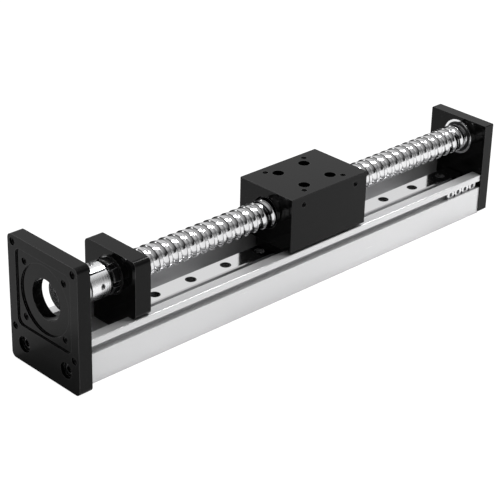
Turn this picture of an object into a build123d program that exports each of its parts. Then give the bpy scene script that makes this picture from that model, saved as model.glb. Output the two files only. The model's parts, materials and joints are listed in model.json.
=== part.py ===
from build123d import *
from math import cos, radians, sin
import os

# Ball-screw linear guide with a 200 mm stroke.
# Millimetres. X runs along the screw, from the motor plate to the end plate, Z is up.
# The origin is under the middle of the base, on the surface that the base stands on.

os.makedirs("parts", exist_ok=True)

# Base extrusion: an open channel for the rail, a T-slot in each side and one below
base_length = 302.0
base_width = 40.0
base_height = 25.0
base_edge_round = 0.4
channel_wall = 6.2
channel_depth = 11.5
side_slot_opening = 4.3
side_slot_drop = 5.9
side_slot_lip = 1.3
side_slot_cavity_height = 5.8
side_slot_cavity_depth = 3.1
bottom_slot_opening = 6.2
bottom_slot_lip = 1.8
bottom_slot_cavity_width = 11.0
bottom_slot_cavity_depth = 4.2
motor_port_inset = 3.2
motor_port_height = 11.8
end_port_offset = 9.5
end_port_height = 7.0
port_depth = 16.0

# Guide rail and its slider
rail_width = 12.0
rail_height = 8.0
rail_pitch = 25.0
rail_start_gap = 7.0
rail_end_gap = 1.0
rail_end_margin = 5.0
rail_counterbore_diameter = 6.2
rail_counterbore_depth = 4.5
rail_screw_length = 8.0
rail_track_radius = 1.2
rail_track_height = 4.4
rail_edge_chamfer = 0.5
slider_side_gap = 0.3
slider_underside = 3.0
slider_top_height = 13.0
slider_body_length = 32.4
slider_cap_length = 5.5
slider_seal_thickness = 1.0
slider_cap_inset = 0.3
slider_seal_gap = 0.15
slider_edge_chamfer = 0.5
slider_running_gap = 0.3
slider_hole_spacing = 20.0
slider_hole_inset = 3.5
slider_thread_depth = 3.6
slider_ball_diameter = 2.0
slider_ball_pitch = 2.6

# Ball screw, from the coupling end to the floating end
screw_diameter = 16.0
screw_lead = 6.25
screw_track_radius = 1.9
screw_track_centre = 8.75
shoulder_diameter = 14.0
journal_diameter = 12.0
coupling_end_diameter = 8.0
screw_gap_to_wall = 0.4
journal_end_inset = 0.3
coupling_end_chamfer = 0.5
journal_end_chamfer = 0.4
lock_nut_diameter = 19.0
lock_nut_thickness = 4.5
lock_nut_notches = 6
lock_nut_notch_width = 3.0
lock_nut_notch_depth = 1.8
lock_nut_turn = 5.0
lock_nut_chamfer = 0.4
lock_nut_thread_start = 0.4
spacer_diameter = 15.0
spacer_thickness = 1.8

# Ball bearings, the same size at both ends
bearing_diameter = 21.0
bearing_width = 5.0
bearing_ring_wall = 1.3
bearing_ball_diameter = 2.2
bearing_ball_count = 9
bearing_seal_thickness = 0.5
bearing_seal_inset = 0.15
circlip_thickness = 1.0
circlip_groove_depth = 0.7
circlip_band = 1.7
circlip_half_gap = 18.0
circlip_eye_radius = 1.3
circlip_eye_hole = 0.5
circlip_eye_reach = 0.4

# Ball nut inside the carriage block
nut_diameter = 22.0
nut_length = 48.0
nut_bore_clearance = 0.1
wiper_thickness = 2.5
wiper_band = 0.9
wiper_gap = 0.06
nut_edge_chamfer = 0.5

# Carriage block
carriage_length = 58.0
carriage_overhang = 0.2
carriage_roof = 3.4
carriage_foot = 2.5
carriage_front_wall = 4.0
carriage_edge_chamfer = 0.25
carriage_screw_gap = 1.2
carriage_rest_gap = 98.25
access_hole_diameter = 6.6
top_hole_spacing = 30.0
top_hole_depth = 10.0
side_hole_spacing = 40.0
side_hole_drop = 5.1
side_hole_depth = 6.0
screw_head_room = 0.5

# Motor plate
motor_plate_thickness = 8.0
motor_plate_width = 54.6
motor_plate_over_axis = 27.5
plate_corner_radius = 3.0
plate_lift = 1.0
motor_pocket_width = 43.0
motor_pocket_depth = 0.9
motor_pocket_corner = 4.0
large_pilot_diameter = 38.2
large_pilot_depth = 1.0
small_pilot_diameter = 22.2
large_hole_spacing = 47.14
large_hole_diameter = 4.2
small_hole_spacing = 31.0
small_hole_diameter = 4.0
motor_shaft_diameter = 6.35
motor_screw_recess = 2.0
motor_screw_head_gap = 0.2

# Bearing block and end plate
block_gap = 34.0
block_thickness = 10.0
block_inset = 0.2
block_over_axis = 13.8
block_corner_radius = 3.0
block_screw_spacing = 20.0
block_screw_depth = 8.0
tongue_gap = 0.3
bearing_back_wall = 3.4
bearing_shoulder_band = 1.5
end_plate_thickness = 7.0
end_plate_overhang = 0.75
end_plate_over_axis = 12.8
end_plate_chamfer = 0.5
end_bearing_recess = 0.2

# Clamp coupling
coupling_diameter = 19.0
coupling_length = 25.0
coupling_gap_to_nut = 1.8
coupling_slit = 1.0
coupling_slit_angle = 125.0
coupling_screw_inset = 5.4
coupling_screw_offset = 6.0
coupling_head_seat = 1.4
coupling_shaft_gap = 1.0
coupling_edge_chamfer = 0.4
coupling_head_gap = 0.15
coupling_screw_length = 8.0

# Socket screws: diameter, head diameter, head height, key width and key depth
m25 = {"shank": 2.5, "head": 4.5, "height": 2.5, "key": 2.0, "key_depth": 1.3}
m3 = {"shank": 3.0, "head": 5.5, "height": 3.0, "key": 2.5, "key_depth": 1.6}
m4 = {"shank": 4.0, "head": 7.0, "height": 4.0, "key": 3.0, "key_depth": 2.2}
m5_low = {"shank": 5.0, "head": 8.5, "height": 3.5, "key": 4.0, "key_depth": 2.0}
m4_tapping_drill = 3.3
plate_screw_length = 14.0

# Hexagon nuts left in the near side slot
slot_nut_width = 5.5
slot_nut_thickness = 2.4
slot_nut_bore = 2.6
slot_nut_count = 4
slot_nut_gap = 0.1
slot_nut_end_gap = 2.2

# Clearances
seat_gap = 0.02
thread_gap = 0.05
screw_hole_gap = 0.25
head_gap = 0.5
thread_tip_gap = 0.3
slot_nut_play = 0.1

# Places along X
x_front = -(motor_plate_thickness + base_length + end_plate_thickness) / 2
x_base = x_front + motor_plate_thickness
x_end = x_base + base_length
x_tail = x_end + end_plate_thickness
x_block = x_base + block_gap
x_block_back = x_block + block_thickness
x_rail = x_block_back + rail_start_gap
rail_length = x_end - rail_end_gap - x_rail
x_carriage = x_block_back + carriage_rest_gap + carriage_length / 2
x_fixed_bearing = x_block_back - bearing_back_wall - bearing_width
x_end_bearing = x_end + end_bearing_recess
x_lock_nut = x_fixed_bearing - spacer_thickness - lock_nut_thickness
x_coupling = x_lock_nut - coupling_gap_to_nut - coupling_length
x_coupling_middle = x_coupling + coupling_length / 2

# Widths that follow the base, so that what sits in or on it keeps its seat
channel_width = base_width - 2 * channel_wall
carriage_width = base_width + 2 * carriage_overhang
block_width = base_width - 2 * block_inset
end_plate_width = base_width + 2 * end_plate_overhang
slider_width = channel_width - 2 * slider_side_gap
slider_hole_width = slider_width - 2 * slider_hole_inset
motor_port_offset = base_width / 2 - motor_port_inset

# Heights
channel_floor = base_height - channel_depth
side_slot_height = base_height - side_slot_drop
rail_top = channel_floor + rail_height
slider_top = channel_floor + slider_top_height
access_seat = slider_top + carriage_foot
axis_height = access_seat + m3["height"] + screw_head_room + nut_diameter / 2
carriage_top = axis_height + nut_diameter / 2 + carriage_roof
motor_plate_top = axis_height + motor_plate_over_axis
block_top = axis_height + block_over_axis
end_plate_top = axis_height + end_plate_over_axis

# Holes along the rail, spread evenly about its middle
rail_hole_count = int((rail_length - 2 * rail_end_margin) / rail_pitch) + 1
rail_first_hole = x_rail + (rail_length - (rail_hole_count - 1) * rail_pitch) / 2
rail_hole_places = [(rail_first_hole + i * rail_pitch, 0) for i in range(rail_hole_count)]

motor_port_places = [(side * motor_port_offset, motor_port_height) for side in (-1, 1)]
end_port_places = [(side * end_port_offset, end_port_height) for side in (-1, 1)]
block_screw_places = [
    (x_block + block_thickness / 2, side * block_screw_spacing / 2) for side in (-1, 1)
]


def across(x):
    """Sketch plane across the guide at x: local x is +Y, local y is +Z, normal is +X."""
    return Plane.YZ.offset(x)


def on_axis(x):
    """The same plane, with its origin moved up to the screw's axis."""
    return Plane(origin=(x, 0, axis_height), x_dir=(0, 1, 0), z_dir=(1, 0, 0))


def ring(x, length, outer, inner):
    """Plain ring about the screw's axis, from x to x + length, by its two radii."""
    with BuildPart() as made:
        with BuildSketch(on_axis(x)):
            Circle(outer)
            Circle(inner, mode=Mode.SUBTRACT)
        extrude(amount=length)
    return made


def socket_screws(seat, places, size, length):
    """Cap screws whose heads sit on the seat plane and whose shanks go down from it."""
    with BuildPart() as made:
        with BuildSketch(seat):
            with Locations(*places):
                Circle(size["head"] / 2)
        extrude(amount=size["height"])
        with BuildSketch(seat):
            with Locations(*places):
                Circle(size["shank"] / 2)
        extrude(amount=-length)
        with BuildSketch(seat.offset(size["height"])):
            with Locations(*places):
                RegularPolygon(size["key"] / 2, side_count=6, major_radius=False)
        extrude(amount=-size["key_depth"], mode=Mode.SUBTRACT)
    return made


def bearing(x):
    """Outer ring, inner ring, balls and the two seals of a ball bearing that starts at x."""
    outer = bearing_diameter / 2
    inner = journal_diameter / 2
    pitch = (outer + inner) / 2
    middle = x + bearing_width / 2
    land_outer = outer - bearing_ring_wall
    land_inner = inner + bearing_ring_wall
    groove = bearing_ball_diameter / 2 + bearing_seal_inset
    shells = []
    for low, high in ((land_outer, outer), (inner, land_inner)):
        with BuildPart() as shell:
            with BuildSketch(Plane.XZ):
                with Locations((middle, axis_height + (low + high) / 2)):
                    Rectangle(bearing_width, high - low)
                with Locations((middle, axis_height + pitch)):
                    Circle(groove, mode=Mode.SUBTRACT)
            revolve(axis=Axis((0, 0, axis_height), (1, 0, 0)))
        shells.append(shell)
    with BuildPart() as balls:
        with Locations(on_axis(middle)):
            with PolarLocations(pitch, bearing_ball_count):
                Sphere(bearing_ball_diameter / 2)
    with BuildPart() as seals:
        for start in (x, x + bearing_width - bearing_seal_thickness):
            with BuildSketch(on_axis(start)):
                Circle(land_outer)
                Circle(land_inner + bearing_seal_inset, mode=Mode.SUBTRACT)
            extrude(amount=bearing_seal_thickness)
    return shells[0], shells[1], balls, seals


def bore_circlip(x, bore_radius):
    """Inside retaining ring: an open band in the bore's groove, with an eye at each end."""
    outer = bore_radius + circlip_groove_depth
    band_inner = outer - circlip_band
    reach = band_inner - circlip_eye_reach
    with BuildPart() as made:
        with BuildSketch(on_axis(x)):
            Circle(outer)
            Circle(band_inner, mode=Mode.SUBTRACT)
            with Locations((outer / 2, 0)):
                opening = 2 * band_inner * sin(radians(circlip_half_gap / 2))
                Rectangle(outer, opening, mode=Mode.SUBTRACT)
            for turn in (-radians(circlip_half_gap), radians(circlip_half_gap)):
                with Locations((reach * cos(turn), reach * sin(turn))):
                    Circle(circlip_eye_radius)
                    Circle(circlip_eye_hole, mode=Mode.SUBTRACT)
        extrude(amount=circlip_thickness)
    return made


# Base extrusion
with BuildPart() as base_extrusion:
    with BuildSketch(across(x_base)):
        with Locations((0, base_height / 2)):
            RectangleRounded(base_width, base_height, base_edge_round)
        with Locations((0, base_height)):
            Rectangle(channel_width, 2 * (base_height - channel_floor), mode=Mode.SUBTRACT)
        for side in (-1, 1):
            with Locations((side * base_width / 2, side_slot_height)):
                Rectangle(2 * side_slot_lip, side_slot_opening, mode=Mode.SUBTRACT)
            cavity_middle = base_width / 2 - side_slot_lip - side_slot_cavity_depth / 2
            with Locations((side * cavity_middle, side_slot_height)):
                Rectangle(side_slot_cavity_depth, side_slot_cavity_height, mode=Mode.SUBTRACT)
        Rectangle(bottom_slot_opening, 2 * bottom_slot_lip, mode=Mode.SUBTRACT)
        with Locations((0, bottom_slot_lip + bottom_slot_cavity_depth / 2)):
            Rectangle(bottom_slot_cavity_width, bottom_slot_cavity_depth, mode=Mode.SUBTRACT)
        with Locations(*motor_port_places, *end_port_places):
            Circle(m4_tapping_drill / 2, mode=Mode.SUBTRACT)
    extrude(amount=base_length)
    with BuildSketch(across(x_base)):
        with Locations(*motor_port_places):
            Circle(m5_low["shank"] / 2 + thread_gap)
    extrude(amount=port_depth, mode=Mode.SUBTRACT)
    with BuildSketch(across(x_end)):
        with Locations(*end_port_places):
            Circle(m4["shank"] / 2 + thread_gap)
    extrude(amount=-port_depth, mode=Mode.SUBTRACT)
    rail_thread_depth = rail_screw_length - (rail_height - rail_counterbore_depth) + head_gap
    with BuildSketch(Plane.XY.offset(channel_floor)):
        with Locations(*rail_hole_places):
            Circle(m3["shank"] / 2 + thread_gap)
    extrude(amount=-rail_thread_depth, mode=Mode.SUBTRACT)
    with BuildSketch(Plane.XY):
        with Locations(*block_screw_places):
            Circle(m4["shank"] / 2 + screw_hole_gap)
    extrude(amount=channel_floor, mode=Mode.SUBTRACT)
    with BuildSketch(Plane.XY):
        with Locations(*block_screw_places):
            Circle(m4["head"] / 2 + head_gap)
    extrude(amount=m4["height"] + head_gap, mode=Mode.SUBTRACT)

# Guide rail, with a ball track along each side and counterbored holes
with BuildPart() as guide_rail:
    with BuildSketch(across(x_rail)):
        with Locations((0, channel_floor + rail_height / 2)):
            profile = Rectangle(rail_width, rail_height)
        chamfer(profile.vertices().group_by(Axis.Z)[-1], length=rail_edge_chamfer)
        for side in (-1, 1):
            track_middle = rail_width / 2 + slider_running_gap / 2
            with Locations((side * track_middle, channel_floor + rail_track_height)):
                Circle(rail_track_radius, mode=Mode.SUBTRACT)
    extrude(amount=rail_length)
    with Locations(*[(x, y, rail_top) for x, y in rail_hole_places]):
        CounterBoreHole(
            radius=m3["shank"] / 2 + screw_hole_gap,
            counter_bore_radius=rail_counterbore_diameter / 2,
            counter_bore_depth=rail_counterbore_depth,
            depth=rail_height,
        )

rail_screws = socket_screws(
    Plane.XY.offset(rail_top - rail_counterbore_depth), rail_hole_places, m3, rail_screw_length
)

# Motor plate
motor_plate_height = motor_plate_top - plate_lift
with BuildPart() as motor_plate:
    with BuildSketch(across(x_front)):
        with Locations((0, plate_lift + motor_plate_height / 2)):
            RectangleRounded(motor_plate_width, motor_plate_height, plate_corner_radius)
    extrude(amount=motor_plate_thickness)
    with BuildSketch(on_axis(x_front)):
        RectangleRounded(motor_pocket_width, motor_pocket_width, motor_pocket_corner)
    extrude(amount=motor_pocket_depth, mode=Mode.SUBTRACT)
    with BuildSketch(on_axis(x_front)):
        Circle(large_pilot_diameter / 2)
    extrude(amount=motor_pocket_depth + large_pilot_depth, mode=Mode.SUBTRACT)
    with BuildSketch(on_axis(x_front)):
        Circle(small_pilot_diameter / 2)
        with GridLocations(large_hole_spacing, large_hole_spacing, 2, 2):
            Circle(large_hole_diameter / 2)
        with GridLocations(small_hole_spacing, small_hole_spacing, 2, 2):
            Circle(small_hole_diameter / 2)
    extrude(amount=motor_plate_thickness, mode=Mode.SUBTRACT)
    with BuildSketch(across(x_front)):
        with Locations(*motor_port_places):
            Circle(m5_low["shank"] / 2 + screw_hole_gap)
    extrude(amount=motor_plate_thickness, mode=Mode.SUBTRACT)
    motor_screw_drop = m5_low["height"] + motor_screw_recess
    with BuildSketch(across(x_front)):
        with Locations(*motor_port_places):
            Circle(m5_low["head"] / 2 + motor_screw_head_gap)
    extrude(amount=motor_screw_drop, mode=Mode.SUBTRACT)

motor_screw_seat = Plane(
    origin=(x_front + motor_screw_drop, 0, 0), x_dir=(0, -1, 0), z_dir=(-1, 0, 0)
)
motor_plate_screws = socket_screws(
    motor_screw_seat, [(-y, z) for y, z in motor_port_places], m5_low, plate_screw_length
)

# Bearing block, standing on the channel's rims with a tongue down between them
fixed_bearing_bore = bearing_diameter / 2 + seat_gap
bearing_shoulder = bearing_diameter / 2 - bearing_shoulder_band
x_fixed_circlip = x_fixed_bearing - circlip_thickness - seat_gap
with BuildPart() as bearing_block:
    with BuildSketch(across(x_block)):
        with Locations((0, (block_top + base_height) / 2)):
            RectangleRounded(block_width, block_top - base_height, block_corner_radius)
        with Locations((0, (base_height + channel_floor + tongue_gap) / 2)):
            Rectangle(
                channel_width - 2 * tongue_gap, base_height - channel_floor - tongue_gap
            )
        with Locations((0, base_height + block_corner_radius / 2)):
            Rectangle(channel_width - 2 * tongue_gap, block_corner_radius)
    extrude(amount=block_thickness)
    with BuildSketch(on_axis(x_block)):
        Circle(bearing_shoulder)
    extrude(amount=block_thickness, mode=Mode.SUBTRACT)
    with BuildSketch(on_axis(x_block)):
        Circle(fixed_bearing_bore)
    extrude(amount=block_thickness - bearing_back_wall, mode=Mode.SUBTRACT)
    with BuildSketch(on_axis(x_fixed_circlip - seat_gap)):
        Circle(fixed_bearing_bore + circlip_groove_depth)
    extrude(amount=circlip_thickness + 2 * seat_gap, mode=Mode.SUBTRACT)
    with BuildSketch(Plane.XY.offset(channel_floor + tongue_gap)):
        with Locations(*block_screw_places):
            Circle(m4["shank"] / 2 + thread_gap)
    extrude(amount=block_screw_depth, mode=Mode.SUBTRACT)

block_screw_seat = Plane(
    origin=(0, 0, m4["height"] + head_gap), x_dir=(1, 0, 0), z_dir=(0, 0, -1)
)
block_screw_length = channel_floor - m4["height"] - head_gap + block_screw_depth - head_gap
bearing_block_screws = socket_screws(
    block_screw_seat, [(x, -y) for x, y in block_screw_places], m4, block_screw_length
)
block_circlip = bore_circlip(x_fixed_circlip, fixed_bearing_bore - seat_gap)

# End plate
end_plate_height = end_plate_top - plate_lift
with BuildPart() as end_plate:
    with BuildSketch(across(x_end)):
        with Locations((0, plate_lift + end_plate_height / 2)):
            plate_outline = Rectangle(end_plate_width, end_plate_height)
        chamfer(plate_outline.vertices(), length=end_plate_chamfer)
    extrude(amount=end_plate_thickness)
    with BuildSketch(on_axis(x_end)):
        Circle(bearing_shoulder)
    extrude(amount=end_plate_thickness, mode=Mode.SUBTRACT)
    with BuildSketch(on_axis(x_end)):
        Circle(fixed_bearing_bore)
    extrude(amount=end_bearing_recess + bearing_width, mode=Mode.SUBTRACT)
    with BuildSketch(across(x_end)):
        with Locations(*end_port_places):
            Circle(m4["shank"] / 2 + screw_hole_gap)
    extrude(amount=end_plate_thickness, mode=Mode.SUBTRACT)
    with BuildSketch(across(x_tail)):
        with Locations(*end_port_places):
            Circle(m4["head"] / 2 + head_gap)
    extrude(amount=-(m4["height"] + head_gap), mode=Mode.SUBTRACT)

end_plate_screws = socket_screws(
    across(x_tail - m4["height"] - head_gap), end_port_places, m4, plate_screw_length
)

fixed_outer, fixed_inner, fixed_balls, fixed_seals = bearing(x_fixed_bearing)
end_outer, end_inner, end_balls, end_seals = bearing(x_end_bearing)

# Hexagon nuts trapped in the near side slot, by the end plate
nut_corners = slot_nut_width / cos(radians(30))
nut_pitch = nut_corners + slot_nut_gap
x_last_nut = x_end - slot_nut_end_gap - nut_corners / 2
slot_nut_seat = Plane(
    origin=(0, -base_width / 2 + side_slot_lip + slot_nut_play, side_slot_height),
    x_dir=(1, 0, 0),
    z_dir=(0, -1, 0),
)
with BuildPart() as slot_nuts:
    with BuildSketch(slot_nut_seat):
        with Locations(*[(x_last_nut - i * nut_pitch, 0) for i in range(slot_nut_count)]):
            RegularPolygon(slot_nut_width / 2, side_count=6, major_radius=False)
            Circle(slot_nut_bore / 2, mode=Mode.SUBTRACT)
    extrude(amount=-slot_nut_thickness)

# Ball screw, turned between its coupling end and its floating end
x_screw_start = x_coupling_middle + coupling_shaft_gap
x_journal = x_lock_nut - lock_nut_thread_start
x_shoulder = x_fixed_bearing + bearing_width
x_thread = x_block_back + screw_gap_to_wall
x_thread_end = x_end - screw_gap_to_wall
x_screw_end = x_tail - journal_end_inset
x_end_circlip = x_end_bearing + bearing_width + seat_gap
screw_steps = [
    (x_screw_start, x_journal, coupling_end_diameter),
    (x_journal, x_shoulder, journal_diameter),
    (x_shoulder, x_thread, shoulder_diameter),
    (x_thread, x_thread_end, screw_diameter),
    (x_thread_end, x_end_bearing, shoulder_diameter),
    (x_end_bearing, x_screw_end, journal_diameter),
]
track_count = int((x_thread_end - x_thread) / screw_lead)
track_places = [x_thread + (i + 0.5) * screw_lead for i in range(track_count)]
with BuildPart() as ball_screw:
    for start, stop, diameter in screw_steps:
        with BuildSketch(on_axis(start)):
            Circle(diameter / 2)
        extrude(amount=stop - start)
    rims = ball_screw.edges().filter_by(GeomType.CIRCLE).sort_by(Axis.X)
    chamfer(rims[0], length=coupling_end_chamfer)
    chamfer(rims[-1], length=journal_end_chamfer)
    with BuildSketch(Plane.XZ):
        with Locations(*[(x, axis_height + screw_track_centre) for x in track_places]):
            Circle(screw_track_radius)
    revolve(axis=Axis((0, 0, axis_height), (1, 0, 0)), mode=Mode.SUBTRACT)
    with BuildSketch(on_axis(x_end_circlip - seat_gap)):
        Circle(journal_diameter / 2)
        Circle(journal_diameter / 2 - circlip_groove_depth, mode=Mode.SUBTRACT)
    extrude(amount=circlip_thickness + 2 * seat_gap, mode=Mode.SUBTRACT)

# Outside retaining ring on the floating journal, open at one side
journal_ring_inner = journal_diameter / 2 - circlip_groove_depth + seat_gap
with BuildPart() as journal_circlip:
    with BuildSketch(on_axis(x_end_circlip)):
        Circle(journal_ring_inner + circlip_band)
        Circle(journal_ring_inner, mode=Mode.SUBTRACT)
        with Locations((0, journal_ring_inner)):
            Rectangle(journal_ring_inner, 2 * circlip_band, mode=Mode.SUBTRACT)
    extrude(amount=circlip_thickness)

# Slotted lock nut and the spacer that passes its load to the bearing's inner ring
journal_hole = journal_diameter / 2 + seat_gap
with BuildPart() as lock_nut:
    with BuildSketch(on_axis(x_lock_nut)):
        Circle(lock_nut_diameter / 2)
    extrude(amount=lock_nut_thickness)
    chamfer(lock_nut.edges().filter_by(GeomType.CIRCLE), length=lock_nut_chamfer)
    with BuildSketch(on_axis(x_lock_nut)):
        Circle(journal_hole)
        with PolarLocations(lock_nut_diameter / 2, lock_nut_notches, start_angle=lock_nut_turn):
            Rectangle(2 * lock_nut_notch_depth, lock_nut_notch_width)
    extrude(amount=lock_nut_thickness, mode=Mode.SUBTRACT)
spacer_ring = ring(
    x_lock_nut + lock_nut_thickness, spacer_thickness, spacer_diameter / 2, journal_hole
)

# Clamp coupling: one slit along its whole length, and a half-round slot across its middle
slit_turn = radians(coupling_slit_angle)
slit_axes = {"x_dir": (0, cos(slit_turn), sin(slit_turn)), "z_dir": (1, 0, 0)}
clamp_dir = Vector(0, sin(slit_turn), -cos(slit_turn))
clamp_seat = Plane(
    origin=Vector(x_coupling_middle, 0, axis_height) + clamp_dir * coupling_head_seat,
    x_dir=(1, 0, 0),
    z_dir=clamp_dir,
)
clamp_reach = coupling_length / 2 - coupling_screw_inset
clamp_places = [(end * clamp_reach, -coupling_screw_offset) for end in (-1, 1)]
with BuildPart() as coupling_hub:
    with BuildSketch(on_axis(x_coupling)):
        Circle(coupling_diameter / 2)
    extrude(amount=coupling_length)
    chamfer(coupling_hub.edges().filter_by(GeomType.CIRCLE), length=coupling_edge_chamfer)
    with BuildSketch(on_axis(x_coupling)):
        Circle(motor_shaft_diameter / 2 + seat_gap)
    extrude(amount=coupling_length / 2, mode=Mode.SUBTRACT)
    with BuildSketch(on_axis(x_coupling_middle)):
        Circle(coupling_end_diameter / 2 + seat_gap)
    extrude(amount=coupling_length / 2, mode=Mode.SUBTRACT)
    with BuildSketch(Plane(origin=(x_coupling, 0, axis_height), **slit_axes)):
        with Locations((coupling_diameter / 2, 0)):
            Rectangle(coupling_diameter, coupling_slit)
    extrude(amount=coupling_length, mode=Mode.SUBTRACT)
    x_cross_slot = x_coupling_middle - coupling_slit / 2
    with BuildSketch(Plane(origin=(x_cross_slot, 0, axis_height), **slit_axes)):
        with Locations((coupling_diameter / 2, 0)):
            Rectangle(coupling_diameter, 2 * coupling_diameter)
    extrude(amount=coupling_slit, mode=Mode.SUBTRACT)
    with BuildSketch(clamp_seat):
        with Locations(*clamp_places):
            Circle(m25["head"] / 2 + coupling_head_gap)
    extrude(amount=coupling_diameter, mode=Mode.SUBTRACT)
    with BuildSketch(clamp_seat):
        with Locations(*clamp_places):
            Circle(m25["shank"] / 2 + thread_gap)
    extrude(amount=-coupling_diameter, mode=Mode.SUBTRACT)
coupling_screws = socket_screws(clamp_seat, clamp_places, m25, coupling_screw_length)

# Carriage block: a bore for the ball nut, and holes down to the slider's screws
x_carriage_near = x_carriage - carriage_length / 2
x_carriage_far = x_carriage + carriage_length / 2
x_nut = x_carriage_near + carriage_front_wall
x_nut_circlip = x_nut + nut_length + seat_gap
nut_bore = nut_diameter / 2 + seat_gap
side_hole_height = carriage_top - side_hole_drop
with BuildPart() as carriage_block:
    with BuildSketch(Plane.XY.offset(slider_top)):
        with Locations((x_carriage, 0)):
            Rectangle(carriage_length, carriage_width)
    extrude(amount=carriage_top - slider_top)
    chamfer(carriage_block.edges(), length=carriage_edge_chamfer)
    with BuildSketch(on_axis(x_carriage_near)):
        Circle(screw_diameter / 2 + carriage_screw_gap)
    extrude(amount=carriage_front_wall, mode=Mode.SUBTRACT)
    with BuildSketch(on_axis(x_nut)):
        Circle(nut_bore)
    extrude(amount=x_carriage_far - x_nut, mode=Mode.SUBTRACT)
    with BuildSketch(on_axis(x_nut_circlip - seat_gap)):
        Circle(nut_bore + circlip_groove_depth)
    extrude(amount=circlip_thickness + 2 * seat_gap, mode=Mode.SUBTRACT)
    with BuildSketch(Plane.XY.offset(access_seat)):
        with Locations((x_carriage, 0)):
            with GridLocations(slider_hole_spacing, slider_hole_width, 2, 2):
                Circle(access_hole_diameter / 2)
    extrude(amount=carriage_top - access_seat, mode=Mode.SUBTRACT)
    with BuildSketch(Plane.XY.offset(slider_top)):
        with Locations((x_carriage, 0)):
            with GridLocations(slider_hole_spacing, slider_hole_width, 2, 2):
                Circle(m3["shank"] / 2 + screw_hole_gap)
    extrude(amount=carriage_foot, mode=Mode.SUBTRACT)
    with BuildSketch(Plane.XY.offset(carriage_top)):
        with Locations((x_carriage, 0)):
            with GridLocations(top_hole_spacing, top_hole_spacing, 2, 2):
                Circle(m4_tapping_drill / 2)
    extrude(amount=-top_hole_depth, mode=Mode.SUBTRACT)
    for side in (-1, 1):
        side_face = Plane(
            origin=(x_carriage, side * carriage_width / 2, side_hole_height),
            x_dir=(1, 0, 0),
            z_dir=(0, side, 0),
        )
        with BuildSketch(side_face):
            with GridLocations(side_hole_spacing, 1, 2, 1):
                Circle(m4_tapping_drill / 2)
        extrude(amount=-side_hole_depth, mode=Mode.SUBTRACT)

# Ball nut with a wiper in each end, held by a retaining ring
wiper_outer = screw_diameter / 2 + wiper_band
with BuildPart() as ball_nut:
    with BuildSketch(on_axis(x_nut)):
        Circle(nut_diameter / 2)
    extrude(amount=nut_length)
    chamfer(ball_nut.edges().filter_by(GeomType.CIRCLE), length=nut_edge_chamfer)
    with BuildSketch(on_axis(x_nut)):
        Circle(screw_diameter / 2 + nut_bore_clearance)
    extrude(amount=nut_length, mode=Mode.SUBTRACT)
    for start in (x_nut, x_nut + nut_length - wiper_thickness):
        with BuildSketch(on_axis(start)):
            Circle(wiper_outer + seat_gap)
        extrude(amount=wiper_thickness, mode=Mode.SUBTRACT)
wiper_inner = screw_diameter / 2 + wiper_gap
nut_wiper_near = ring(x_nut, wiper_thickness, wiper_outer, wiper_inner)
nut_wiper_far = ring(
    x_nut + nut_length - wiper_thickness, wiper_thickness, wiper_outer, wiper_inner
)
nut_circlip = bore_circlip(x_nut_circlip, nut_bore - seat_gap)


def slider_section(x, length, inset, gap):
    """A slice of the slider, which straddles the rail: inset from its outline, gap at the rail."""
    low = channel_floor + slider_underside + inset
    high = slider_top - inset
    half_track = rail_width / 2 + slider_running_gap / 2
    with BuildPart() as made:
        with BuildSketch(across(x)):
            with Locations((0, (low + high) / 2)):
                outline = Rectangle(slider_width - 2 * inset, high - low)
            chamfer(outline.vertices(), length=slider_edge_chamfer)
            with Locations((0, low)):
                Rectangle(rail_width + 2 * gap, 2 * (rail_top + gap - low), mode=Mode.SUBTRACT)
            for side in (-1, 1):
                with Locations((side * half_track, channel_floor + rail_track_height)):
                    Circle(rail_track_radius, mode=Mode.SUBTRACT)
        extrude(amount=length)
    return made


# Slider: a steel body between two end caps, each with a seal on its outer face
x_slider = x_carriage - slider_body_length / 2
x_slider_end = x_carriage + slider_body_length / 2
with BuildPart() as slider_body:
    add(slider_section(x_slider, slider_body_length, 0, slider_running_gap).part)
    with BuildSketch(Plane.XY.offset(slider_top)):
        with Locations((x_carriage, 0)):
            with GridLocations(slider_hole_spacing, slider_hole_width, 2, 2):
                Circle(m3["shank"] / 2 + thread_gap)
    extrude(amount=-slider_thread_depth, mode=Mode.SUBTRACT)
cap_size = (slider_cap_length, slider_cap_inset, slider_running_gap)
seal_size = (slider_seal_thickness, 2 * slider_cap_inset, slider_seal_gap)
slider_cap_near = slider_section(x_slider - slider_cap_length, *cap_size)
slider_cap_far = slider_section(x_slider_end, *cap_size)
x_seal_near = x_slider - slider_cap_length - slider_seal_thickness
slider_seal_near = slider_section(x_seal_near, *seal_size)
slider_seal_far = slider_section(x_slider_end + slider_cap_length, *seal_size)

# Balls in the two tracks between the slider and the rail
ball_count = int((slider_body_length - slider_ball_diameter) / slider_ball_pitch)
with BuildPart() as slider_balls:
    track_half = rail_width / 2 + slider_running_gap / 2
    track_z = channel_floor + rail_track_height
    with Locations((x_carriage, 0, track_z)):
        with GridLocations(slider_ball_pitch, 2 * track_half, ball_count, 2):
            Sphere(slider_ball_diameter / 2)

slider_screw_places = [
    (x_carriage + i * slider_hole_spacing / 2, j * slider_hole_width / 2)
    for i in (-1, 1)
    for j in (-1, 1)
]
slider_screw_length = carriage_foot + slider_thread_depth - thread_tip_gap
slider_screws = socket_screws(
    Plane.XY.offset(access_seat), slider_screw_places, m3, slider_screw_length
)

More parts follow.
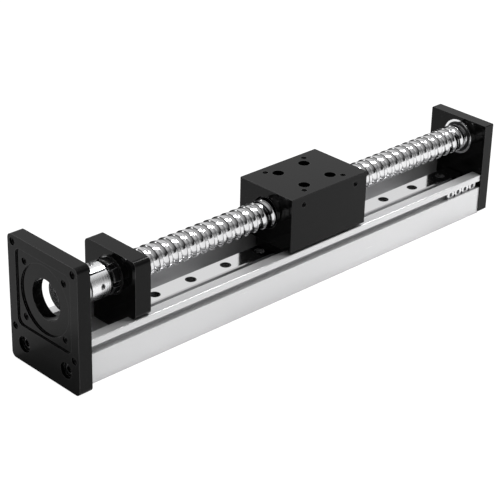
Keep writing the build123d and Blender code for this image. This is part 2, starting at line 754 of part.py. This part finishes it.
pieces = {
    "base_extrusion": base_extrusion,
    "guide_rail": guide_rail,
    "rail_screws": rail_screws,
    "motor_plate": motor_plate,
    "motor_plate_screws": motor_plate_screws,
    "bearing_block": bearing_block,
    "bearing_block_screws": bearing_block_screws,
    "block_circlip": block_circlip,
    "end_plate": end_plate,
    "end_plate_screws": end_plate_screws,
    "slot_nuts": slot_nuts,
    "fixed_bearing_outer_ring": fixed_outer,
    "fixed_bearing_balls": fixed_balls,
    "fixed_bearing_seals": fixed_seals,
    "end_bearing_outer_ring": end_outer,
    "end_bearing_balls": end_balls,
    "end_bearing_seals": end_seals,
    "ball_screw": ball_screw,
    "fixed_bearing_inner_ring": fixed_inner,
    "end_bearing_inner_ring": end_inner,
    "spacer_ring": spacer_ring,
    "lock_nut": lock_nut,
    "journal_circlip": journal_circlip,
    "coupling_hub": coupling_hub,
    "coupling_screws": coupling_screws,
    "carriage_block": carriage_block,
    "ball_nut": ball_nut,
    "nut_wiper_near": nut_wiper_near,
    "nut_wiper_far": nut_wiper_far,
    "nut_circlip": nut_circlip,
    "slider_body": slider_body,
    "slider_balls": slider_balls,
    "slider_cap_near": slider_cap_near,
    "slider_cap_far": slider_cap_far,
    "slider_seal_near": slider_seal_near,
    "slider_seal_far": slider_seal_far,
    "slider_screws": slider_screws,
}
for node, piece in pieces.items():
    piece.part.label = node
    export_step(piece.part, f"parts/{node}.step")
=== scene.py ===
import json
from math import asin, cos, radians, sin, sqrt, tau

import bmesh
import bpy
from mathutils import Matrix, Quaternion, Vector


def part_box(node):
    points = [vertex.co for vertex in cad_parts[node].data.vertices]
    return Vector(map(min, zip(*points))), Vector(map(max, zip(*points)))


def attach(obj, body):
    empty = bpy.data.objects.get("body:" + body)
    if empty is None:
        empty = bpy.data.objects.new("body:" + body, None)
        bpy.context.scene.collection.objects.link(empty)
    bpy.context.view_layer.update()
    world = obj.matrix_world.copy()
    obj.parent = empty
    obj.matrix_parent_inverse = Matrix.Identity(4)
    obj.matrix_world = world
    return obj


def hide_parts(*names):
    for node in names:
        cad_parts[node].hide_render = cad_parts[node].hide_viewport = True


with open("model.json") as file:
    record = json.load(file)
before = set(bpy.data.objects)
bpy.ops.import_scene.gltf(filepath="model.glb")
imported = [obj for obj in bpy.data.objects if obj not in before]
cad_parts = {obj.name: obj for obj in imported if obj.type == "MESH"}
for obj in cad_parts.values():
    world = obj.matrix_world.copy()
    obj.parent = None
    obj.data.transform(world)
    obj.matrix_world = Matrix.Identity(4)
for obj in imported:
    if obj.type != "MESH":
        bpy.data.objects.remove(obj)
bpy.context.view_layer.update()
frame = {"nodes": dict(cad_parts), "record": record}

MM = 0.001

# Camera: solved from the guide's own hole patterns in the photograph
CAMERA_PLACE = (-0.5949, -0.5907, 0.4472)
CAMERA_TURN = 45.727
CAMERA_DROP = 27.133
CAMERA_ROLL = 1.495
CAMERA_LENS = 123.3
CAMERA_REACH = (0.05, 20)

# Tone of the room's walls by height (the sine of the elevation): toward the guide's far side (+Y),
# toward its near side (-Y), and toward its motor end (-X)
WALL_BEHIND = ((0.0, 0.6), (0.2, 0.8), (0.46, 0.95), (0.75, 0.85), (1.0, 0.6))
WALL_BEFORE = ((0.0, 0.7), (0.2, 0.45), (0.42, 0.20), (0.56, 0.5), (0.75, 0.85), (1.0, 0.6))
WALL_NEAR = ((0.0, 0.04), (0.3, 0.03), (0.6, 0.25), (1.0, 0.6))
# How the walls run together: an axis, its range, and the walls at its low and high end by number.
# Wall 3 is the first join
WALL_JOINS = (("Y", -0.05, 0.35, 1, 0), ("X", 0.10, 0.50, 2, 3))
ROOM_STRENGTH = 0.9

# White that the camera sees in floor and room, and its share in the floor, which is else lit paper
WHITE_STRENGTH = 1.1
WHITE_SHARE = 0.9
PAPER_TONE = 0.9
PAPER_ROUGHNESS = 0.9
FLOOR_REACH = 6

# Lights: name, place, target, side of the square, power, and whether reflections show it
LIGHTS = (
    ("key", (0.85, 0.07, 1.1), (0, 0, 0.03), 0.36, 9, True),
    ("left", (-0.6, 0.85, 0.82), (0, 0, 0.03), 0.3, 1, True),
    ("top", (0.5, -0.35, 1.4), (0, 0, 0), 0.6, 13, False),
)

# Where nearly all of a mask's values lie, and the trace of blue in each grey
MASK_RANGE = (0.25, 0.75)
BLUE_TRACE = 1.01

# The screw's axis and its stretches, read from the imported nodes
SCREW_LOW, SCREW_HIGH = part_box("ball_screw")
AXIS_Z = (SCREW_LOW[2] + SCREW_HIGH[2]) / 2
THREAD_RADIUS = (SCREW_HIGH[2] - SCREW_LOW[2]) / 2


def camera():
    """The photograph's viewpoint, with the horizon rolled as it is there."""
    data = bpy.data.cameras.new("camera")
    data.lens = CAMERA_LENS
    data.clip_start, data.clip_end = CAMERA_REACH
    seen = bpy.data.objects.new("camera", data)
    turn, drop = radians(CAMERA_TURN), radians(CAMERA_DROP)
    look = Vector((cos(drop) * cos(turn), cos(drop) * sin(turn), -sin(drop)))
    roll = Quaternion((0, 0, 1), radians(CAMERA_ROLL))
    seen.rotation_mode = "QUATERNION"
    seen.location = CAMERA_PLACE
    seen.rotation_quaternion = look.to_track_quat("-Z", "Y") @ roll
    bpy.context.collection.objects.link(seen)
    bpy.context.scene.camera = seen


def add_node(tree, kind, **values):
    """A shader node with its settings and its sockets' values."""
    made = tree.nodes.new(kind)
    for key, value in values.items():
        if key in made.inputs:
            made.inputs[key].default_value = value
        else:
            setattr(made, key, value)
    return made


def new_group(name, inputs):
    """An empty shader group with float inputs, and outputs Mask and Height."""
    tree = bpy.data.node_groups.new(name, "ShaderNodeTree")
    for label, value in inputs.items():
        socket = tree.interface.new_socket(label, in_out="INPUT", socket_type="NodeSocketFloat")
        socket.default_value = value
    tree.interface.new_socket("Mask", in_out="OUTPUT", socket_type="NodeSocketFloat")
    tree.interface.new_socket("Height", in_out="OUTPUT", socket_type="NodeSocketFloat")
    return tree, tree.nodes.new("NodeGroupInput"), tree.nodes.new("NodeGroupOutput")


def drawn_lines():
    """Fine lines left along X by drawing or grinding: a mask of pale and dark, and its height."""
    tree, given, out = new_group(
        "drawn_lines", {"Fineness": 9000.0, "Stretch": 0.004, "Contrast": 0.5}
    )
    link = tree.links.new
    place = add_node(tree, "ShaderNodeTexCoord")
    split = add_node(tree, "ShaderNodeSeparateXYZ")
    squeeze = add_node(tree, "ShaderNodeMath", operation="MULTIPLY")
    join = add_node(tree, "ShaderNodeCombineXYZ")
    lines = add_node(tree, "ShaderNodeTexNoise", Detail=3.0, Roughness=0.6)
    spread = add_node(tree, "ShaderNodeMapRange")
    link(place.outputs["Object"], split.inputs[0])
    link(split.outputs["X"], squeeze.inputs[0])
    link(given.outputs["Stretch"], squeeze.inputs[1])
    link(squeeze.outputs[0], join.inputs["X"])
    link(split.outputs["Y"], join.inputs["Y"])
    link(split.outputs["Z"], join.inputs["Z"])
    link(join.outputs[0], lines.inputs["Vector"])
    link(given.outputs["Fineness"], lines.inputs["Scale"])
    link(lines.outputs["Fac"], spread.inputs["Value"])
    low = add_node(tree, "ShaderNodeMath", operation="SUBTRACT")
    low.inputs[0].default_value = 0.5
    half = add_node(tree, "ShaderNodeMath", operation="MULTIPLY")
    half.inputs[1].default_value = 0.5
    link(given.outputs["Contrast"], half.inputs[0])
    link(half.outputs[0], low.inputs[1])
    high = add_node(tree, "ShaderNodeMath", operation="ADD")
    high.inputs[0].default_value = 0.5
    link(half.outputs[0], high.inputs[1])
    link(low.outputs[0], spread.inputs["To Min"])
    link(high.outputs[0], spread.inputs["To Max"])
    link(spread.outputs[0], out.inputs["Mask"])
    link(lines.outputs["Fac"], out.inputs["Height"])
    return tree


def turned_rings():
    """Rings left round the screw's axis by a turning tool: they change along X only."""
    tree, given, out = new_group("turned_rings", {"Fineness": 5000.0})
    link = tree.links.new
    place = add_node(tree, "ShaderNodeTexCoord")
    split = add_node(tree, "ShaderNodeSeparateXYZ")
    join = add_node(tree, "ShaderNodeCombineXYZ")
    rings = add_node(tree, "ShaderNodeTexNoise", Detail=2.0)
    link(place.outputs["Object"], split.inputs[0])
    link(split.outputs["X"], join.inputs["X"])
    link(join.outputs[0], rings.inputs["Vector"])
    link(given.outputs["Fineness"], rings.inputs["Scale"])
    link(rings.outputs["Fac"], out.inputs["Mask"])
    link(rings.outputs["Fac"], out.inputs["Height"])
    return tree


def blasted_grain():
    """Even fine grain of a blasted and dyed surface, with broad soft unevenness in its mask."""
    tree, given, out = new_group("blasted_grain", {"Fineness": 4000.0, "Breadth": 45.0})
    link = tree.links.new
    place = add_node(tree, "ShaderNodeTexCoord")
    fine = add_node(tree, "ShaderNodeTexNoise", Detail=2.0, Roughness=0.7)
    broad = add_node(tree, "ShaderNodeTexNoise", Detail=3.0, Roughness=0.55)
    both = add_node(tree, "ShaderNodeMix", data_type="FLOAT")
    both.inputs["Factor"].default_value = 0.35
    link(place.outputs["Object"], fine.inputs["Vector"])
    link(place.outputs["Object"], broad.inputs["Vector"])
    link(given.outputs["Fineness"], fine.inputs["Scale"])
    link(given.outputs["Breadth"], broad.inputs["Scale"])
    link(broad.outputs["Fac"], both.inputs["A"])
    link(fine.outputs["Fac"], both.inputs["B"])
    link(both.outputs["Result"], out.inputs["Mask"])
    link(fine.outputs["Fac"], out.inputs["Height"])
    return tree


def edge_sheen_and_wear():
    """Mask of the corners for a painted edge highlight, partly edge wear: how far a rounded normal
    leans from the face's own.
    """
    tree, given, out = new_group("edge_sheen_and_wear", {"Width": 0.0005, "Gain": 4.0})
    link = tree.links.new
    rounded = add_node(tree, "ShaderNodeBevel", samples=6)
    own = add_node(tree, "ShaderNodeNewGeometry")
    lean = add_node(tree, "ShaderNodeVectorMath", operation="DOT_PRODUCT")
    away = add_node(tree, "ShaderNodeMath", operation="SUBTRACT")
    away.inputs[0].default_value = 1
    gain = add_node(tree, "ShaderNodeMath", operation="MULTIPLY", use_clamp=True)
    link(given.outputs["Width"], rounded.inputs["Radius"])
    link(rounded.outputs["Normal"], lean.inputs[0])
    link(own.outputs["Normal"], lean.inputs[1])
    link(lean.outputs["Value"], away.inputs[1])
    link(away.outputs[0], gain.inputs[0])
    link(given.outputs["Gain"], gain.inputs[1])
    link(gain.outputs[0], out.inputs["Mask"])
    link(gain.outputs[0], out.inputs["Height"])
    return tree


LINES, RINGS, GRAIN, EDGE_SHEEN_AND_WEAR = drawn_lines(), turned_rings(), blasted_grain(), edge_sheen_and_wear()


def finish_material(name, group, group_values, dark, pale, rough, bump, edge=None, **constants):
    """A finish: a group's mask moves its colour from dark to pale and its roughness over a range.

    The bump is a strength and a height in mm. An edge tone lightens the corners: a painted
    highlight where edges and chamfers would catch the light, and partly a thinner coat there."""
    made = bpy.data.materials.new(name)
    made.use_nodes = True
    tree = made.node_tree
    tree.nodes.clear()
    link = tree.links.new
    out = add_node(tree, "ShaderNodeOutputMaterial")
    skin = add_node(tree, "ShaderNodeBsdfPrincipled")
    for label, value in constants.items():
        skin.inputs[label.replace("_", " ")].default_value = value
    effect = add_node(tree, "ShaderNodeGroup", node_tree=group)
    for label, value in group_values.items():
        effect.inputs[label].default_value = value
    colour = add_node(tree, "ShaderNodeMix", data_type="RGBA")
    colour.inputs["A"].default_value = (*dark, 1)
    colour.inputs["B"].default_value = (*pale, 1)
    spread = add_node(tree, "ShaderNodeMapRange")
    spread.inputs["From Min"].default_value = MASK_RANGE[0]
    spread.inputs["From Max"].default_value = MASK_RANGE[1]
    spread.inputs["To Min"].default_value = rough[0]
    spread.inputs["To Max"].default_value = rough[1]
    dent = add_node(tree, "ShaderNodeBump")
    dent.inputs["Strength"].default_value = bump[0]
    dent.inputs["Distance"].default_value = bump[1] * MM
    link(effect.outputs["Mask"], colour.inputs["Factor"])
    link(effect.outputs["Mask"], spread.inputs["Value"])
    link(effect.outputs["Height"], dent.inputs["Height"])
    tint = colour.outputs["Result"]
    # The edge tone is a painted highlight along corners and chamfers, partly edge wear
    if edge:
        sheen_and_wear_tint = add_node(tree, "ShaderNodeMix", data_type="RGBA")
        sheen_and_wear_tint.inputs["B"].default_value = (*edge, 1)
        sheen_and_wear_mask = add_node(tree, "ShaderNodeGroup", node_tree=EDGE_SHEEN_AND_WEAR)
        link(tint, sheen_and_wear_tint.inputs["A"])
        link(sheen_and_wear_mask.outputs["Mask"], sheen_and_wear_tint.inputs["Factor"])
        tint = sheen_and_wear_tint.outputs["Result"]
    link(tint, skin.inputs["Base Color"])
    link(spread.outputs[0], skin.inputs["Roughness"])
    link(dent.outputs[0], skin.inputs["Normal"])
    link(skin.outputs[0], out.inputs["Surface"])
    return made


def grey(value):
    return (value, value, value * BLUE_TRACE)


CLEAR_ANODISED = finish_material(
    "clear_anodised", LINES, {"Fineness": 2600.0, "Stretch": 0.004, "Contrast": 0.14},
    grey(0.68), grey(0.74), (0.24, 0.30), (0.01, 0.01), Metallic=0.55,
)
# Its faint pale edge tone is a painted highlight along the blocks' edges and chamfers, partly a
# thinner coat
BLACK_ANODISED = finish_material(
    "black_anodised", GRAIN, {"Fineness": 3500.0, "Breadth": 40.0},
    grey(0.002), grey(0.004), (0.06, 0.12), (0.05, 0.004), edge=grey(0.08), Specular_IOR_Level=0.12,
)
THREAD_BLACK = finish_material(
    "thread_black", GRAIN, {"Fineness": 3500.0, "Breadth": 400.0},
    grey(0.004), grey(0.012), (0.12, 0.2), (0.05, 0.004), Specular_IOR_Level=0.3,
)
GROUND_STEEL = finish_material(
    "ground_steel", LINES, {"Fineness": 5200.0, "Stretch": 0.003, "Contrast": 0.4},
    grey(0.74), grey(0.82), (0.08, 0.14), (0.03, 0.01), Metallic=1.0,
)
SCREW_STEEL = finish_material(
    "screw_steel", RINGS, {"Fineness": 3000.0},
    grey(0.64), grey(0.78), (0.05, 0.10), (0.03, 0.01), Metallic=1.0,
)
TURNED_ALUMINIUM = finish_material(
    "turned_aluminium", RINGS, {"Fineness": 6500.0},
    grey(0.80), grey(0.92), (0.20, 0.32), (0.12, 0.01), Metallic=1.0,
)
BEARING_STEEL = finish_material(
    "bearing_steel", RINGS, {"Fineness": 4000.0},
    grey(0.66), grey(0.76), (0.12, 0.20), (0.04, 0.01), Metallic=1.0,
)
ZINC_PLATE = finish_material(
    "zinc_plate", GRAIN, {"Fineness": 2500.0, "Breadth": 300.0},
    grey(0.66), grey(0.82), (0.22, 0.38), (0.10, 0.01), Metallic=1.0,
)
# Its pale edge tone is a painted glint on the edges of nuts and screws, such as the lock nut's
# notches, partly edge wear
BLACK_OXIDE = finish_material(
    "black_oxide", GRAIN, {"Fineness": 3000.0, "Breadth": 200.0},
    grey(0.012), grey(0.030), (0.16, 0.28), (0.10, 0.01), edge=grey(0.6), Metallic=0.6,
)
BLACK_PLASTIC = finish_material(
    "black_plastic", GRAIN, {"Fineness": 1800.0, "Breadth": 100.0},
    grey(0.012), grey(0.022), (0.42, 0.55), (0.15, 0.02),
)
BLACK_RUBBER = finish_material(
    "black_rubber", GRAIN, {"Fineness": 1500.0, "Breadth": 90.0},
    grey(0.008), grey(0.015), (0.55, 0.70), (0.15, 0.02),
)

FINISHES = {
    "clear_anodised": CLEAR_ANODISED,
    "black_anodised": BLACK_ANODISED,
    "ground_steel": GROUND_STEEL,
    "steel": BEARING_STEEL,
    "turned_aluminium": TURNED_ALUMINIUM,
    "zinc_plate": ZINC_PLATE,
    "black_oxide": BLACK_OXIDE,
    "black_plastic": BLACK_PLASTIC,
    "black_rubber": BLACK_RUBBER,
}
for part in frame["record"]["subparts"]:
    surface = frame["nodes"][part["node"]].data
    surface.materials.clear()
    surface.materials.append(FINISHES[part["material_slot"]])


def finished(bm, name, material, body, sharp=35):
    """Makes a piece of a bmesh: smooth but for edges past an angle, one material, one body."""
    bmesh.ops.recalc_face_normals(bm, faces=bm.faces)
    for face in bm.faces:
        face.smooth = True
    for edge in bm.edges:
        edge.smooth = edge.calc_face_angle(0) < radians(sharp)
    mesh = bpy.data.meshes.new(name)
    bm.to_mesh(mesh)
    bm.free()
    mesh.materials.append(material)
    piece = bpy.data.objects.new(name, mesh)
    bpy.context.collection.objects.link(piece)
    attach(piece, body)
    return piece


# Ball screw: steps round it, its track, and the rounded shoulders between track and land
SCREW_STEPS = 64
LEAD = 6.25 * MM
TRACK_RADIUS = 2.9 * MM
TRACK_CENTRE = 9.7 * MM
TRACK_STEPS = 12
SHOULDER = 0.28 * MM
SHOULDER_TURNS = (0, 22, 45, 67)
SHOULDER_SUPPORT = 0.06 * MM
SPARE_TURNS = 3

# Its ends: the thread's gap to the walls, the radii, the chamfers, and the reach into the thread
THREAD_GAP = 0.4 * MM
COUPLING_END_RADIUS = 4 * MM
JOURNAL_RADIUS = 6 * MM
STEP_RADIUS = 7 * MM
GROOVE_RADIUS = 5.3 * MM
END_CHAMFER = 0.5 * MM
JOURNAL_CHAMFER = 0.4 * MM
OVERLAP = 0.1 * MM

# Distances within which corners count as one
TURNED_WELD = 0.002 * MM
THREAD_WELD = 0.005 * MM
RIM_REACH = 0.001 * MM

# Tapped holes by mount: pitch and thread length in mm, body, and the direction of a row
TAPPED = {
    "motor_holes_large": (0.8, 6.4, "base", (0, 1, 0)),
    "motor_holes_small": (0.7, 5.6, "base", (0, 1, 0)),
    "carriage_top_holes": (0.7, 5.6, "carriage", (1, 0, 0)),
    "carriage_side_holes_front": (0.7, 4.9, "carriage", (1, 0, 0)),
    "carriage_side_holes_back": (0.7, 4.9, "carriage", (1, 0, 0)),
}
# A ridge's outline: place along the hole as a share of the pitch, and mm out from the hole's wall
RIDGE = ((0.6, 0.03), (1.0, -0.22), (1.4, 0.03))
RIDGE_STEPS = 20


def spun(bm, outline, advance, closed):
    """Spins an (x, radius) outline once round the screw's axis, by an advance along X per step."""
    corners = [bm.verts.new((x, 0, AXIS_Z + r)) for x, r in outline]
    edges = [bm.edges.new(pair) for pair in zip(corners, corners[1:])]
    bmesh.ops.spin(
        bm, geom=corners + edges, cent=(0, 0, AXIS_Z), axis=(1, 0, 0), dvec=(advance, 0, 0),
        angle=tau, steps=SCREW_STEPS, use_merge=closed, use_duplicate=False,
    )


def turned(bm, outline):
    """Adds a closed turned shape about the screw's axis from its (x, radius) outline."""
    spun(bm, outline, 0, True)
    bmesh.ops.remove_doubles(bm, verts=bm.verts, dist=TURNED_WELD)


def track_profile():
    """One turn of the screw's outline as (x, radius): half a land, a round track, half a land."""
    edge = THREAD_RADIUS - SHOULDER
    wide = sqrt(TRACK_RADIUS**2 - (TRACK_CENTRE - edge) ** 2)
    low_turn = asin(wide / TRACK_RADIUS)
    land = [(-LEAD / 2, THREAD_RADIUS), (-wide - SHOULDER - SHOULDER_SUPPORT, THREAD_RADIUS)]
    for turn in SHOULDER_TURNS:
        a = radians(turn)
        land.append((-wide - SHOULDER * (1 - sin(a)), edge + SHOULDER * cos(a)))
    track = []
    for i in range(TRACK_STEPS + 1):
        a = low_turn * (2 * i / TRACK_STEPS - 1)
        track.append((TRACK_RADIUS * sin(a), TRACK_CENTRE - TRACK_RADIUS * cos(a)))
    return land + track + [(-x, r) for x, r in reversed(land)]


def ball_screw():
    """The screw with its real helix: one turn, copied along, cut to length and given its ends."""
    thread_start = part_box("bearing_block")[1][0] + THREAD_GAP
    thread_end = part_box("end_plate")[0][0] - THREAD_GAP
    bm = bmesh.new()
    spun(bm, track_profile(), LEAD / SCREW_STEPS, False)
    turns = int((thread_end - thread_start) / LEAD) + SPARE_TURNS
    one_turn = bm.verts[:] + bm.edges[:] + bm.faces[:]
    for turn in range(1, turns):
        copy = bmesh.ops.duplicate(bm, geom=one_turn)
        moved = [g for g in copy["geom"] if isinstance(g, bmesh.types.BMVert)]
        bmesh.ops.translate(bm, verts=moved, vec=(turn * LEAD, 0, 0))
    bmesh.ops.remove_doubles(bm, verts=bm.verts, dist=THREAD_WELD)
    bmesh.ops.translate(bm, verts=bm.verts, vec=(thread_start - LEAD, 0, 0))
    for place, facing in ((thread_start, -1), (thread_end, 1)):
        whole = bm.verts[:] + bm.edges[:] + bm.faces[:]
        bmesh.ops.bisect_plane(
            bm, geom=whole, plane_co=(place, 0, 0), plane_no=(facing, 0, 0), clear_outer=True
        )
        rim = [e for e in bm.edges if e.is_boundary and abs(e.verts[0].co.x - place) < RIM_REACH]
        bmesh.ops.holes_fill(bm, edges=rim, sides=0)
    x0, x1 = SCREW_LOW[0], SCREW_HIGH[0]
    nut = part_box("lock_nut")[0][0]
    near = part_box("fixed_bearing_inner_ring")[1][0]
    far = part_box("end_bearing_inner_ring")[0][0]
    groove_start, groove_end = (corner[0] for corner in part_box("journal_circlip"))
    turned(bm, [
        (x0, 0),
        (x0, COUPLING_END_RADIUS - END_CHAMFER),
        (x0 + END_CHAMFER, COUPLING_END_RADIUS),
        (nut - JOURNAL_CHAMFER, COUPLING_END_RADIUS),
        (nut - JOURNAL_CHAMFER, JOURNAL_RADIUS - JOURNAL_CHAMFER),
        (nut, JOURNAL_RADIUS),
        (near, JOURNAL_RADIUS),
        (near, STEP_RADIUS),
        (thread_start + OVERLAP, STEP_RADIUS),
        (thread_start + OVERLAP, 0),
    ])
    turned(bm, [
        (thread_end - OVERLAP, 0),
        (thread_end - OVERLAP, STEP_RADIUS),
        (far, STEP_RADIUS),
        (far, JOURNAL_RADIUS),
        (groove_start, JOURNAL_RADIUS),
        (groove_start, GROOVE_RADIUS),
        (groove_end, GROOVE_RADIUS),
        (groove_end, JOURNAL_RADIUS),
        (x1 - JOURNAL_CHAMFER, JOURNAL_RADIUS),
        (x1, JOURNAL_RADIUS - JOURNAL_CHAMFER),
        (x1, 0),
    ])
    screw = finished(bm, "ball_screw_ground", SCREW_STEEL, "screw", sharp=40)
    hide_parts("ball_screw")


def tapped(name, holes, radius, pitch, length, body):
    """The thread of one pattern of tapped holes: a helical ridge on each hole's wall."""
    bm = bmesh.new()
    turns = int(length / pitch)
    for mouth, inward in holes:
        mouth, inward = Vector(mouth), Vector(inward)
        out = inward.orthogonal().normalized()
        ridge = [
            bm.verts.new(mouth + inward * along * pitch + out * (radius + rise * MM))
            for along, rise in RIDGE
        ]
        bmesh.ops.spin(
            bm, geom=[bm.faces.new(ridge)], cent=mouth, axis=inward,
            dvec=inward * pitch / RIDGE_STEPS, angle=tau * turns, steps=RIDGE_STEPS * turns,
            use_merge=False, use_duplicate=False,
        )
    finished(bm, name, THREAD_BLACK, body)


def across_pattern(width, height, along, centre, inward):
    """Mouths of a rectangle of four holes, or of a row of two when the height is 0."""
    up = Vector(inward).cross(along)
    rows = (-0.5, 0.5) if height else (0,)
    return [
        (Vector(centre) + Vector(along) * width * i + up * height * j, inward)
        for i in (-0.5, 0.5) for j in rows
    ]


def threads():
    """Threads of the motor plate's and the carriage's tapped holes, at the record's mounts."""
    for mount in frame["record"]["mounts"]:
        if mount["name"] not in TAPPED:
            continue
        pitch, length, body, along = TAPPED[mount["name"]]
        sizes = mount["dims"]
        width, height = sizes["spacing_x_mm"] * MM, sizes.get("spacing_y_mm", 0) * MM
        inward = [-a for a in mount["axis"]]
        holes = across_pattern(width, height, along, mount["pos_m"], inward)
        name, radius = mount["name"] + "_thread", sizes["hole_r_mm"] * MM
        tapped(name, holes, radius, pitch * MM, length * MM, body)


def flat(name, reach, material):
    """A level square sheet at height 0, out to a reach on each side."""
    bm = bmesh.new()
    corners = [(-reach, -reach, 0), (reach, -reach, 0), (reach, reach, 0), (-reach, reach, 0)]
    bm.faces.new([bm.verts.new(c) for c in corners])
    mesh = bpy.data.meshes.new(name)
    bm.to_mesh(mesh)
    bm.free()
    mesh.materials.append(material)
    sheet = bpy.data.objects.new(name, mesh)
    bpy.context.collection.objects.link(sheet)


def floor():
    """White paper that stays white where the camera sees it, but for a trace of shadow."""
    paper = bpy.data.materials.new("paper")
    paper.use_nodes = True
    tree = paper.node_tree
    link = tree.links.new
    skin = tree.nodes["Principled BSDF"]
    out = tree.nodes["Material Output"]
    skin.inputs["Base Color"].default_value = (PAPER_TONE, PAPER_TONE, PAPER_TONE, 1)
    skin.inputs["Roughness"].default_value = PAPER_ROUGHNESS
    lit = add_node(tree, "ShaderNodeEmission", Color=(1, 1, 1, 1), Strength=WHITE_STRENGTH)
    path = add_node(tree, "ShaderNodeLightPath")
    share = add_node(tree, "ShaderNodeMath", operation="MULTIPLY")
    share.inputs[1].default_value = WHITE_SHARE
    both = add_node(tree, "ShaderNodeMixShader")
    link(path.outputs["Is Camera Ray"], share.inputs[0])
    link(share.outputs[0], both.inputs["Fac"])
    link(skin.outputs[0], both.inputs[1])
    link(lit.outputs[0], both.inputs[2])
    link(both.outputs[0], out.inputs["Surface"])
    flat("floor", FLOOR_REACH, paper)


def soft_light(name, place, target, size, power, mirrored):
    """A square light, with or without its own mirror image in the pieces."""
    data = bpy.data.lights.new(name, "AREA")
    data.shape = "RECTANGLE"
    data.size = data.size_y = size
    data.energy = power
    lamp = bpy.data.objects.new(name, data)
    lamp.location = place
    lamp.rotation_mode = "QUATERNION"
    lamp.rotation_quaternion = (Vector(target) - Vector(place)).to_track_quat("-Z", "Y")
    lamp.visible_glossy = mirrored
    bpy.context.collection.objects.link(lamp)


def studio():
    """White to the camera, and to reflections a pale wall behind the guide and dark before it."""
    world = bpy.data.worlds.new("studio")
    bpy.context.scene.world = world
    world.use_nodes = True
    tree = world.node_tree
    link = tree.links.new
    out = tree.nodes["World Output"]
    seen = tree.nodes["Background"]
    seen.inputs["Color"].default_value = (1, 1, 1, 1)
    seen.inputs["Strength"].default_value = WHITE_STRENGTH
    room = add_node(tree, "ShaderNodeBackground", Strength=ROOM_STRENGTH)
    place = add_node(tree, "ShaderNodeTexCoord")
    split = add_node(tree, "ShaderNodeSeparateXYZ")
    link(place.outputs["Generated"], split.inputs[0])
    walls = []
    for heights in (WALL_BEHIND, WALL_BEFORE, WALL_NEAR):
        ramp = add_node(tree, "ShaderNodeValToRGB")
        stops = ramp.color_ramp.elements
        while len(stops) < len(heights):
            stops.new(0.5)
        for stop, (height, tone) in zip(stops, heights):
            stop.position, stop.color = height, (tone, tone, tone, 1)
        link(split.outputs["Z"], ramp.inputs["Fac"])
        walls.append(ramp.outputs["Color"])
    for axis, low, high, first, second in WALL_JOINS:
        side = add_node(tree, "ShaderNodeMapRange", interpolation_type="SMOOTHSTEP")
        side.inputs["From Min"].default_value = low
        side.inputs["From Max"].default_value = high
        join = add_node(tree, "ShaderNodeMix", data_type="RGBA")
        link(split.outputs[axis], side.inputs["Value"])
        link(side.outputs[0], join.inputs["Factor"])
        link(walls[first], join.inputs[6])
        link(walls[second], join.inputs[7])
        walls.append(join.outputs[2])
    path = add_node(tree, "ShaderNodeLightPath")
    both = add_node(tree, "ShaderNodeMixShader")
    link(walls[-1], room.inputs["Color"])
    link(path.outputs["Is Camera Ray"], both.inputs["Fac"])
    link(room.outputs[0], both.inputs[1])
    link(seen.outputs[0], both.inputs[2])
    link(both.outputs[0], out.inputs["Surface"])
    for light in LIGHTS:
        soft_light(*light)
    bpy.context.scene.view_settings.view_transform = "Standard"


camera()
floor()
studio()
ball_screw()
threads()
